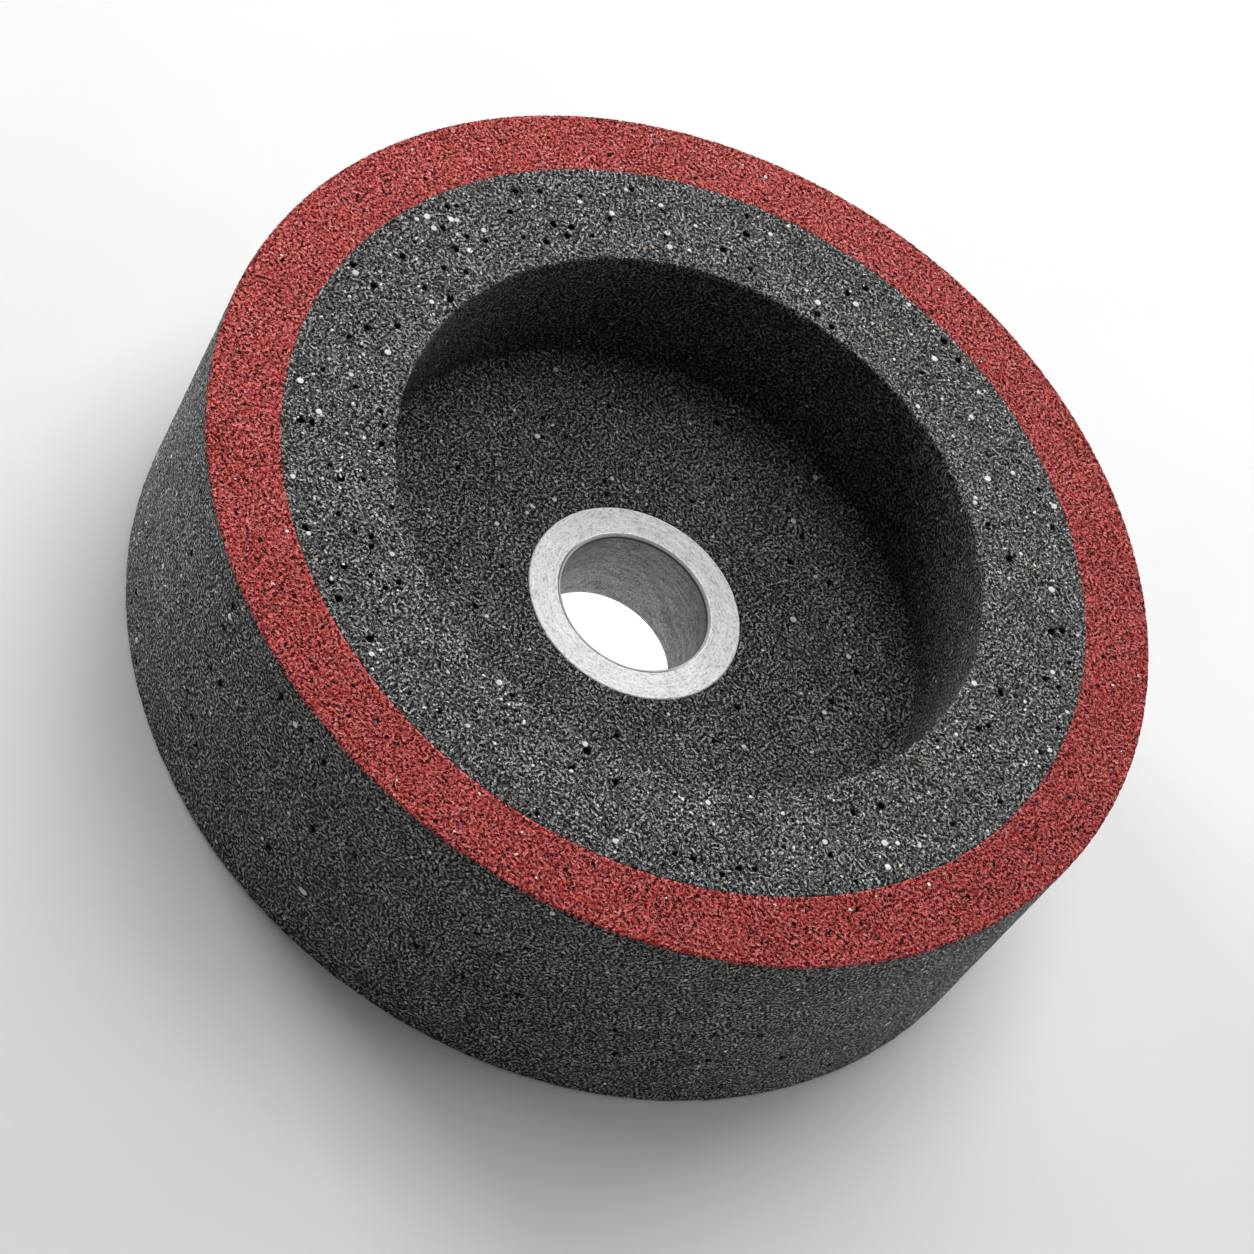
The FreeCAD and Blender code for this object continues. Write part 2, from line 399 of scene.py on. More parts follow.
# --- grey abrasive body -----------------------------------------------------
S_FACE, S_WALL, S_FLOOR, S_SIDE, S_BACK = 0.43, 0.81, 0.65, 1.13, 2.60
face_pits = pits_for(101, BAND_IN, RECESS + MOUTH, BAND_IN - RECESS - MOUTH, [(100, 0.33, 0.58, 0.9), (240, 0.12, 0.20, 0.35)], left_side)
floor_pits = pits_for(102, RECESS - CORNER, SEAT + 0.3, RECESS - CORNER - SEAT - 0.3, [(40, 0.28, 0.50, 0.7), (160, 0.12, 0.20, 0.35)])
wall_pits = pits_for(103, RECESS, RECESS, TOP - MOUTH - FLOOR - CORNER, [(44, 0.28, 0.48, 0.7), (150, 0.12, 0.20, 0.35)])
side_pits = pits_for(104, RIM, RIM, BAND_Z - BACK_ARRIS, [(150, 0.32, 0.60, 0.8), (330, 0.13, 0.20, 0.35)])
back_pits = pits_for(105, SEAT + SEAT_ARRIS, RIM - BACK_ARRIS, RIM - BACK_ARRIS - SEAT - SEAT_ARRIS, [(90, 0.30, 0.55, 0.7), (60, 0.13, 0.20, 0.35)])
body = Lathe(11)
body.ring(SEAT + SEAT_ARRIS, 0.0, (-0.4, -0.9), 0.9, "back_edge")
body.field((SEAT + SEAT_ARRIS, 0.0), (RIM - BACK_ARRIS, 0.0), (0.0, -1.0), S_BACK, "back", back_pits)
body.ring(RIM - BACK_ARRIS, 0.0, (0.0, -1.0), 1.0, "back_edge", jitter=0.3)
body.arc((RIM - BACK_ARRIS, BACK_ARRIS), BACK_ARRIS, -90.0, 0.0, 3, 0.9, "back_arris")
body.ring(RIM, BACK_ARRIS, (1.0, 0.0), 0.9, "side_edge", jitter=0.3)
body.field((RIM, BACK_ARRIS), (RIM, BAND_Z), (1.0, 0.0), S_SIDE, "side", side_pits)
body.ring(RIM, BAND_Z, (1.0, 0.0), 0.42, "joint_outer", angles=outer_angles)
body.ring(61.0, BAND_Z, (0.0, 1.0), 2.0, "hidden")
body.ring(57.5, BAND_Z, (0.0, 1.0), 3.0, "hidden")
body.ring(54.2, BAND_Z, (0.0, 1.0), 1.0, "hidden")
body.ring(BAND_IN, BAND_Z, (0.0, 1.0), 0.6, "hidden")
body.ring(BAND_IN, TOP, (0.0, 1.0), 0.30, "joint_inner", angles=inner_angles)
body.field((BAND_IN, TOP), (RECESS + MOUTH, TOP), (0.0, 1.0), S_FACE, "face", face_pits)
body.ring(RECESS + MOUTH, TOP, (0.0, 1.0), 0.38, "mouth", jitter=0.5)
body.arc((RECESS + MOUTH, TOP - MOUTH), MOUTH, 90.0, 180.0, 3, 0.36, "mouth")
body.ring(RECESS, TOP - MOUTH, (-1.0, 0.0), 0.42, "mouth", jitter=0.5)
body.field((RECESS, TOP - MOUTH), (RECESS, FLOOR + CORNER), (-1.0, 0.0), S_WALL, "wall", wall_pits)
body.ring(RECESS, FLOOR + CORNER, (-1.0, 0.0), 0.5, "corner_hollow", jitter=0.5)
body.arc((RECESS - CORNER, FLOOR + CORNER), CORNER, 0.0, -90.0, 4, 0.5, "corner_hollow")
body.ring(RECESS - CORNER, FLOOR, (0.0, 1.0), 0.5, "corner_hollow", jitter=0.5)
body.field((RECESS - CORNER, FLOOR), (SEAT + 0.3, FLOOR), (0.0, 1.0), S_FLOOR, "floor", floor_pits)
body.ring(SEAT + 0.3, FLOOR, (0.0, 1.0), 0.42, "lip", jitter=0.5)
body.ring(SEAT, FLOOR, (0.0, 1.0), 0.42, "lip", jitter=0.3)
body.ring(SEAT, FLOOR - 0.6, (-1.0, 0.0), 0.5, "seat")
body.ring(SEAT, 8.0, (-1.0, 0.0), 0.5, "seat")
body.ring(SEAT, 1.2, (-1.0, 0.0), 0.5, "seat")
body.ring(SEAT, SEAT_ARRIS, (-0.9, -0.4), 0.5, "seat")
body.points()


def roughen(lathe, settings):
    """Most points are near the trued surface, some are in open gaps; a pit's own points keep its depth."""
    for names, flat, deep, power in settings:
        keep = lathe.of(*names)
        n = keep.sum()
        lathe.depth[keep] = flat * lathe.rng.rand(n) + deep * lathe.rng.rand(n) ** power
    pits = lathe.down >= 0.0
    lathe.depth[pits] = lathe.down[pits] + 0.03 + 0.04 * lathe.rng.rand(pits.sum())


roughen(body, (
    (("face",), 0.05, 0.20, 2.2),
    (("mouth",), 0.04, 0.16, 2.0),
    (("wall", "corner_hollow"), 0.04, 0.16, 2.0),
    (("floor",), 0.05, 0.20, 2.0),
    (("lip",), 0.02, 0.05, 1.0),
    (("side", "side_edge"), 0.04, 0.14, 2.0),
    (("back_arris",), 0.03, 0.10, 2.0),
    (("back", "back_edge"), 0.03, 0.12, 2.0),
))
body.depth[body.of("joint_inner")] = inner_depth
body.depth[body.of("joint_outer")] = outer_depth
body_ob = body.mesh("abrasive_wheel", flat_zones=("face", "mouth", "floor"))

# --- red band ---------------------------------------------------------------
red_pits = pits_for(106, RIM - ARRIS, BAND_IN, RIM - ARRIS - BAND_IN, [(84, 0.20, 0.36, 0.32), (420, 0.10, 0.19, 0.30)])
band = Lathe(31)
band.ring(BAND_IN, BAND_Z, (0.0, -1.0), 0.6, "hidden")
band.ring(54.2, BAND_Z, (0.0, -1.0), 1.0, "hidden")
band.ring(57.5, BAND_Z, (0.0, -1.0), 3.0, "hidden")
band.ring(61.0, BAND_Z, (0.0, -1.0), 2.0, "hidden")
band.ring(RIM, BAND_Z, (1.0, 0.0), 0.42, "joint_outer", angles=outer_angles)
band.ring(RIM, TOP - ARRIS, (1.0, 0.0), 0.30, "arris", jitter=0.5)
band.arc((RIM - ARRIS, TOP - ARRIS), ARRIS, 0.0, 90.0, 3, 0.28, "arris")
band.ring(RIM - ARRIS, TOP, (0.0, 1.0), 0.28, "arris", jitter=0.5)
band.field((RIM - ARRIS, TOP), (BAND_IN, TOP), (0.0, 1.0), 0.26, "red", red_pits)
band.ring(BAND_IN, TOP, (0.0, 1.0), 0.30, "joint_inner", angles=inner_angles)
band.points()
roughen(band, ((("red",), 0.04, 0.15, 2.0), (("arris",), 0.04, 0.24, 3.0)))
band.depth[band.of("joint_inner")] = inner_depth
band.depth[band.of("joint_outer")] = outer_depth
band_ob = band.mesh("red_band", flat_zones=("red", "arris"))

# --- bush -------------------------------------------------------------------
bush = Lathe(41)
BUSH_N = 360


def turned(r0, z0, r1, z1, normal, step, zone, first=True, last=True):
    """Evenly spaced rings of a machined face."""
    length = math.hypot(r1 - r0, z1 - z0)
    rows = max(1, int(round(length / step)))
    for i in range(0 if first else 1, rows + 1 if last else rows):
        t = i / rows
        bush.ring(r0 + (r1 - r0) * t, z0 + (z1 - z0) * t, normal, 1.0, zone, count=BUSH_N, angles=bush_angles)


bush_angles = np.arange(BUSH_N) * TAU / BUSH_N
E = 0.05  # rounding of the chamfers' own edges
# from the back end outwards, round the outside and back through the bore
turned(BORE + 1.0 + E, BUSH_LOW, SEAT - 0.3 - E, BUSH_LOW, (0.0, -1.0), 0.20, "end")
turned(SEAT - 0.3 + E * 0.4, BUSH_LOW + E * 0.6, SEAT - E * 0.6, BUSH_LOW + 0.3 - E * 0.4, (0.7, -0.7), 0.2, "bevel")
turned(SEAT, BUSH_LOW + 0.3 + E, SEAT, FLOOR - 0.16 - E, (1.0, 0.0), 1.0, "outside")
turned(SEAT - E * 0.6, FLOOR - 0.16 + E * 0.4, SEAT - 0.16 + E * 0.4, FLOOR - E * 0.6, (0.7, 0.7), 0.15, "bevel")
turned(SEAT - 0.16 - E, FLOOR, BORE + 0.4 + E, FLOOR, (0.0, 1.0), 0.12, "end")
turned(BORE + 0.4 - E * 0.4, FLOOR - E * 0.6, BORE + E * 0.6, FLOOR - 0.4 + E * 0.4, (-0.7, 0.7), 0.25, "bevel")
turned(BORE, FLOOR - 0.4 - E, BORE, BUSH_LOW + 1.0 + E, (-1.0, 0.0), 0.30, "bore")
turned(BORE + E * 0.6, BUSH_LOW + 1.0 - E * 0.4, BORE + 1.0 - E * 0.4, BUSH_LOW + E * 0.6, (-0.7, -0.7), 0.45, "bevel")
bush.points()
bush_ob = bush.mesh("turned_bush")


# ---------------------------------------------------------------------------
# Loose-looking grains set in the surface
# ---------------------------------------------------------------------------
def ico(level):
    t = (1.0 + 5.0 ** 0.5) / 2.0
    v = [(-1, t, 0), (1, t, 0), (-1, -t, 0), (1, -t, 0), (0, -1, t), (0, 1, t), (0, -1, -t), (0, 1, -t),
         (t, 0, -1), (t, 0, 1), (-t, 0, -1), (-t, 0, 1)]
    f = [(0, 11, 5), (0, 5, 1), (0, 1, 7), (0, 7, 10), (0, 10, 11), (1, 5, 9), (5, 11, 4), (11, 10, 2), (10, 7, 6),
         (7, 1, 8), (3, 9, 4), (3, 4, 2), (3, 2, 6), (3, 6, 8), (3, 8, 9), (4, 9, 5), (2, 4, 11), (6, 2, 10),
         (8, 6, 7), (9, 8, 1)]
    v = [np.array(p, float) / np.linalg.norm(p) for p in v]
    for _ in range(level):
        seen, new = {}, []

        def mid(a, b):
            key = (min(a, b), max(a, b))
            if key not in seen:
                m = v[a] + v[b]
                v.append(m / np.linalg.norm(m))
                seen[key] = len(v) - 1
            return seen[key]

        for a, b, c in f:
            ab, bc, ca = mid(a, b), mid(b, c), mid(c, a)
            new += [(a, ab, ca), (b, bc, ab), (c, ca, bc), (ab, bc, ca)]
        f = new
    return np.array(v), np.array(f)


def grains(name, spots, seed, level, rough):
    """spots: (point, normal, radius across, height below, drop). Each grain is a closed, faceted, flattened lump."""
    base_v, base_f = ico(level)
    rng = np.random.RandomState(seed)
    verts, faces, n = [], [], 0
    for point, normal, radius, thick, drop in spots:
        normal = np.array(normal, float)
        side = np.cross(normal, (0.0, 0.0, 1.0) if abs(normal[2]) < 0.9 else (1.0, 0.0, 0.0))
        side /= np.linalg.norm(side)
        other = np.cross(normal, side)
        turn = rng.rand() * TAU
        a = side * math.cos(turn) + other * math.sin(turn)
        b = -side * math.sin(turn) + other * math.cos(turn)
        lump = base_v * (1.0 + rough * (rng.rand(len(base_v), 1) - 0.5))
        stretch = 1.0 + 0.35 * (rng.rand() - 0.3) * (rough > 0.2)
        tilt = (rng.rand(2) - 0.5) * rough
        x, y = lump[:, 0] * radius * stretch, lump[:, 1] * radius / stretch
        z = lump[:, 2] * thick
        z = np.minimum(z, thick * 0.45 + (x * tilt[0] + y * tilt[1]) * 0.6)
        z = z - z.max() - drop
        verts.append(np.array(point)[None] + x[:, None] * a + y[:, None] * b + z[:, None] * normal)
        faces.append(base_f + n)
        n += len(base_v)
    verts, faces = np.concatenate(verts) * MM, np.concatenate(faces)
    mesh = bpy.data.meshes.new(name)
    mesh.from_pydata(verts.tolist(), [], faces.tolist())
    mesh.polygons.foreach_set("use_smooth", np.full(len(faces), level > 1))
    mesh.update()
    ob = bpy.data.objects.new(name, mesh)
    SCENE.collection.objects.link(ob)
    return ob


def scatter(seed, counts, size, thick, drop):
    """Spots on the face, floor, wall, side and back, away from the edges."""
    rng = np.random.RandomState(seed)
    out = []

    def add(points, normal_of):
        for p in points:
            s = size(rng)
            out.append((p, normal_of(p), s, thick * s, drop * rng.rand()))

    add(on_disc(rng, counts.get("face", 0), RECESS + 0.9, BAND_IN - 0.7, TOP), lambda p: (0, 0, 1))
    add(on_disc(rng, counts.get("red", 0), BAND_IN + 0.7, RIM - 0.9, TOP), lambda p: (0, 0, 1))
    add(on_disc(rng, counts.get("floor", 0), SEAT + 0.8, RECESS - 1.2, FLOOR), lambda p: (0, 0, 1))
    add(on_tube(rng, counts.get("wall", 0), RECESS, FLOOR + 1.2, TOP - 0.8), lambda p: (-p[0] / RECESS, -p[1] / RECESS, 0))
    add(on_tube(rng, counts.get("side", 0), RIM, 1.2, BAND_Z - 0.7), lambda p: (p[0] / RIM, p[1] / RIM, 0))
    add(on_disc(rng, counts.get("back", 0), SEAT + 1.5, RIM - 1.5, 0.0), lambda p: (0, 0, -1))
    return out


round_ob = grains(
    "round_grains",
    scatter(61, dict(face=54, floor=18, wall=10, side=18, back=20), lambda r: 0.26 + 0.20 * r.rand(), 0.55, 0.02),
    62, 2, 0.10,
)
bright_ob = grains(
    "bright_grains",
    scatter(63, dict(face=420, red=34, floor=170, wall=60, side=700, back=160), lambda r: 0.12 + 0.17 * r.rand() ** 1.5, 0.8, 0.02),
    64, 0, 0.5,
)
tan_ob = grains(
    "tan_grains",
    scatter(65, dict(face=36, floor=12, wall=6, side=22, back=14), lambda r: 0.12 + 0.12 * r.rand(), 0.8, 0.02),
    66, 0, 0.5,
)


# ---------------------------------------------------------------------------
# Materials
# ---------------------------------------------------------------------------
class Nodes:
    def __init__(self, name):
        self.material = bpy.data.materials.new(name)
        self.material.use_nodes = True
        self.tree = self.material.node_tree
        self.tree.nodes.clear()
        self.out = self.tree.nodes.new("ShaderNodeOutputMaterial")

    def node(self, kind, inputs=None, **props):
        n = self.tree.nodes.new(kind)
        for key, value in props.items():
            setattr(n, key, value)
        for key, value in (inputs or {}).items():
            self.set(n.inputs[key], value)
        return n

    def set(self, socket, value):
        if isinstance(value, bpy.types.NodeSocket):
            self.tree.links.new(value, socket)
        elif isinstance(value, bpy.types.Node):
            self.tree.links.new(value.outputs[0], socket)
        else:
            socket.default_value = value

    def math(self, op, a, b=None, c=None, clamp=False):
        n = self.tree.nodes.new("ShaderNodeMath")
        n.operation = op
        n.use_clamp = clamp
        for i, value in enumerate((a, b, c)):
            if value is not None:
                self.set(n.inputs[i], value)
        return n.outputs[0]

    def vmath(self, op, a, b=None, scale=None):
        n = self.tree.nodes.new("ShaderNodeVectorMath")
        n.operation = op
        self.set(n.inputs[0], a)
        if b is not None:
            self.set(n.inputs[1], b)
        if scale is not None:
            n.inputs["Scale"].default_value = scale
        return n.outputs["Value"] if op in ("LENGTH", "DOT_PRODUCT", "DISTANCE") else n.outputs["Vector"]

    def remap(self, x, a, b, c=0.0, d=1.0, smooth=False):
        n = self.tree.nodes.new("ShaderNodeMapRange")
        n.interpolation_type = "SMOOTHSTEP" if smooth else "LINEAR"
        for key, value in zip(("Value", "From Min", "From Max", "To Min", "To Max"), (x, a, b, c, d)):
            self.set(n.inputs[key], value)
        return n.outputs[0]

    def ramp(self, x, stops):
        n = self.tree.nodes.new("ShaderNodeValToRGB")
        self.set(n.inputs[0], x)
        e = n.color_ramp.elements
        while len(e) > 1:
            e.remove(e[-1])
        e[0].position, e[0].color = stops[0][0], (*stops[0][1], 1.0)
        for pos, col in stops[1:]:
            k = e.new(pos)
            k.color = (*col, 1.0)
        return n.outputs[0]

    def mix(self, factor, a, b, kind="MIX"):
        n = self.tree.nodes.new("ShaderNodeMix")
        n.data_type = "RGBA"
        n.blend_type = kind
        self.set(n.inputs[0], factor)
        self.set(n.inputs[6], a)
        self.set(n.inputs[7], b)
        return n.outputs[2]

    def noise(self, vector, scale, detail=0.0, rough=0.5, lac=2.0, distort=0.0, kind="FBM"):
        return self.node(
            "ShaderNodeTexNoise",
            {"Vector": vector, "Scale": scale, "Detail": detail, "Roughness": rough, "Lacunarity": lac, "Distortion": distort},
            noise_dimensions="3D", noise_type=kind,
        )

    def cells(self, vector, scale, feature="F1", randomness=1.0):
        return self.node(
            "ShaderNodeTexVoronoi", {"Vector": vector, "Scale": scale, "Randomness": randomness},
            voronoi_dimensions="3D", feature=feature,
        )

    def point_mm(self):
        """Object position in millimetres."""
        coord = self.node("ShaderNodeTexCoord")
        return self.vmath("SCALE", coord.outputs["Object"], scale=1000.0)

    def finish(self, **sockets):
        p = self.node("ShaderNodeBsdfPrincipled")
        for key, value in sockets.items():
            self.set(p.inputs[key.replace("_", " ")], value)
        self.tree.links.new(p.outputs[0], self.out.inputs["Surface"])
        return self.material


# across one stroke: plain ground, dark gap, lit ridge, plain ground; in the colour this is the grain's own tone with
# painted shade in the gap and a painted highlight on the ridge
STROKE = [(0.06, (0.5,) * 3), (0.24, (0.02,) * 3), (0.36, (0.0,) * 3), (0.50, (0.62,) * 3), (0.60, (1.0,) * 3), (0.70, (0.92,) * 3), (0.90, (0.5,) * 3)]


def abrasive(name, stops, relief, grit, contrast, below_stops=None):
    """Bonded grain: every grain is scored with short strokes in a direction of its own, and there are open pores."""
    m = Nodes(name)
    p = m.point_mm()
    q = m.node("ShaderNodeMapping", {"Vector": p, "Rotation": (0.61, 0.37, 1.13)}, vector_type="POINT").outputs[0]
    fine = m.noise(q, 4.2, 0.0, 0.6)
    wave = m.math("SUBTRACT", fine.outputs[0], 0.5)

    outward = m.node("ShaderNodeTexCoord").outputs["Normal"]
    n = m.node("ShaderNodeMapping", {"Vector": outward, "Rotation": (0.61, 0.37, 1.13)}, vector_type="POINT").outputs[0]

    def strokes(shift, size, pitch, low):
        """Grains of their own size, each scored along the surface in a direction of its own; the height runs from -0.5 to 0.5."""
        at = m.vmath("ADD", q, shift)
        grain = m.cells(at, size)
        own = m.node("ShaderNodeSeparateColor", {"Color": grain.outputs["Color"]})
        d = m.vmath("SUBTRACT", grain.outputs["Color"], (0.5, 0.5, 0.5))
        lift = m.node("ShaderNodeVectorMath", operation="SCALE")
        m.set(lift.inputs[0], n)
        m.set(lift.inputs["Scale"], m.vmath("DOT_PRODUCT", n, d))
        d = m.vmath("NORMALIZE", m.vmath("SUBTRACT", d, lift.outputs[0]))
        along = m.vmath("DOT_PRODUCT", m.vmath("SUBTRACT", at, grain.outputs["Position"]), d)
        phase = m.math("MULTIPLY_ADD", own.outputs[0], 3.7, m.math("MULTIPLY", wave, 1.0))
        phase = m.math("MULTIPLY_ADD", along, pitch, phase)
        height = m.math("SUBTRACT", m.ramp(m.math("FRACT", phase), STROKE), 0.5)
        strong = m.remap(m.math("FRACT", m.math("MULTIPLY", own.outputs[1], 7.0)), 0.0, 1.0, low, 1.0)
        return m.math("MULTIPLY", height, strong), own

    first, own = strokes((17.3, 5.1, 9.7), 1.20 * grit, 1.45 * grit, 0.35)
    second, other = strokes((3.9, 41.2, 23.8), 1.80 * grit, 2.00 * grit, 0.15)
    value = m.math("MULTIPLY_ADD", wave, 0.55, 0.51)
    # the larger strokes stand up from the surface
    height = m.math("MULTIPLY_ADD", first, 1.30 * contrast, value)
    # the strokes go into the colour too: grain tone with painted shade in the gaps and painted highlights on the ridges
    value = m.math("MULTIPLY_ADD", first, 1.02 * contrast, value)
    value = m.math("MULTIPLY_ADD", second, 0.74 * contrast, value)
    broad = m.noise(p, 0.11, 1.0, 0.5)
    value = m.math("MULTIPLY_ADD", m.math("SUBTRACT", broad.outputs[0], 0.5), 0.12, value)
    value = m.math("MULTIPLY_ADD", m.math("SUBTRACT", own.outputs[2], 0.5), 0.07, value)
    colour = m.ramp(value, stops)
    # some grains are cooler, some warmer
    tint = m.ramp(own.outputs[2], [(0.0, (1.08, 1.0, 0.90)), (0.5, (1.01, 1.0, 0.975)), (1.0, (0.96, 1.0, 1.04))])
    colour = m.mix(1.0, colour, tint, "MULTIPLY")
    pit = m.node("ShaderNodeAttribute", attribute_name="pit")
    hole = m.remap(pit.outputs["Fac"], 0.10, 0.65, 0.0, 1.0, smooth=True)
    xyz = m.node("ShaderNodeSeparateXYZ", {"Vector": p})
    if below_stops is None:
        # painted shade: the recess wall is coloured darker than the faces, as shade falls in the recess
        flat = m.node("ShaderNodeCombineXYZ", {"X": xyz.outputs["X"], "Y": xyz.outputs["Y"], "Z": 0.0})
        radius = m.vmath("LENGTH", flat.outputs[0])
        wall = m.math("MULTIPLY", m.remap(radius, RECESS - 1.0, RECESS - 0.3), m.remap(radius, RECESS + 1.3, RECESS + 0.8))
        wall = m.math("MULTIPLY", wall, m.remap(xyz.outputs["Z"], FLOOR + 0.1, FLOOR + 1.0))
        wall = m.math("MULTIPLY", wall, m.remap(xyz.outputs["Z"], TOP - 0.3, TOP - 0.9))
        colour = m.mix(wall, colour, m.mix(1.0, colour, (0.66, 0.66, 0.66, 1.0), "MULTIPLY"))
    else:
        # painted light: the red is coloured paler towards one side and deeper opposite, as the light falls
        painted_light_side = m.math("ADD", m.math("MULTIPLY", xyz.outputs["X"], -0.906 / RIM), m.math("MULTIPLY", xyz.outputs["Y"], 0.423 / RIM))
        painted_light_tint = m.ramp(m.remap(painted_light_side, -0.92, 0.92), [(0.0, (0.99, 0.83, 0.89)), (0.5, (1.12, 1.01, 1.07)), (1.0, (1.25, 1.19, 1.25))])
        colour = m.mix(1.0, colour, painted_light_tint, "MULTIPLY")
    # painted shade: the deep centres of the pits are coloured near black
    colour = m.mix(m.math("MULTIPLY", hole, 0.95), colour, (0.002, 0.002, 0.002, 1.0) if below_stops is None else (0.008, 0.001, 0.001, 1.0))
    bump = m.node("ShaderNodeBump", {"Strength": 1.0, "Distance": relief * MM, "Height": height})
    rough = m.remap(value, 0.3, 0.9, 0.90, 0.45)
    rough = m.math("MAXIMUM", rough, hole)
    if below_stops:
        # the coat ends at the outer arris; below it the side is the grey body
        ragged = m.math("MULTIPLY_ADD", wave, 0.55, xyz.outputs["Z"])
        below = m.remap(ragged, TOP - 0.36, TOP - 0.20, 1.0, 0.0, smooth=True)
        colour = m.mix(below, colour, m.ramp(value, below_stops))
    return m.finish(Base_Color=colour, Roughness=rough, Normal=bump.outputs[0], Specular_IOR_Level=0.16)


GREY = [
    (0.00, (0.0004, 0.0004, 0.0004)),
    (0.22, (0.0018, 0.0017, 0.0016)),
    (0.38, (0.0155, 0.0149, 0.0144)),
    (0.50, (0.049, 0.049, 0.049)),
    (0.62, (0.094, 0.096, 0.099)),
    (0.78, (0.195, 0.199, 0.205)),
    (1.00, (0.50, 0.505, 0.51)),
]
RED = [
    (0.00, (0.006, 0.0005, 0.0005)),
    (0.22, (0.024, 0.0018, 0.0019)),
    (0.36, (0.140, 0.0115, 0.0115)),
    (0.47, (0.330, 0.037, 0.034)),
    (0.62, (0.435, 0.062, 0.054)),
    (0.78, (0.530, 0.108, 0.096)),
    (1.00, (0.640, 0.20, 0.18)),
]
grey_mat = abrasive("grey_abrasive", GREY, 0.12, 0.95, 1.03)
red_mat = abrasive("red_abrasive", RED, 0.11, 0.88, 1.10, GREY)


def grain_mat(name, low, high, rough):
    m = Nodes(name)
    p = m.point_mm()
    tone = m.noise(p, 1.3, 3.0, 0.6)
    colour = m.ramp(m.remap(tone.outputs[0], 0.3, 0.7), [(0.0, low), (1.0, high)])
    fine = m.noise(p, 9.0, 2.0)
    bump = m.node("ShaderNodeBump", {"Strength": 0.6, "Distance": 0.02 * MM, "Height": fine.outputs[0]})
    return m.finish(Base_Color=colour, Roughness=rough, Normal=bump.outputs[0], Specular_IOR_Level=0.5)


round_mat = grain_mat("round_grain", (0.48, 0.48, 0.50), (0.78, 0.78, 0.82), 0.55)
bright_mat = grain_mat("bright_grain", (0.45, 0.45, 0.45), (0.95, 0.95, 0.93), 0.30)
tan_mat = grain_mat("tan_grain", (0.42, 0.27, 0.17), (0.75, 0.55, 0.38), 0.40)


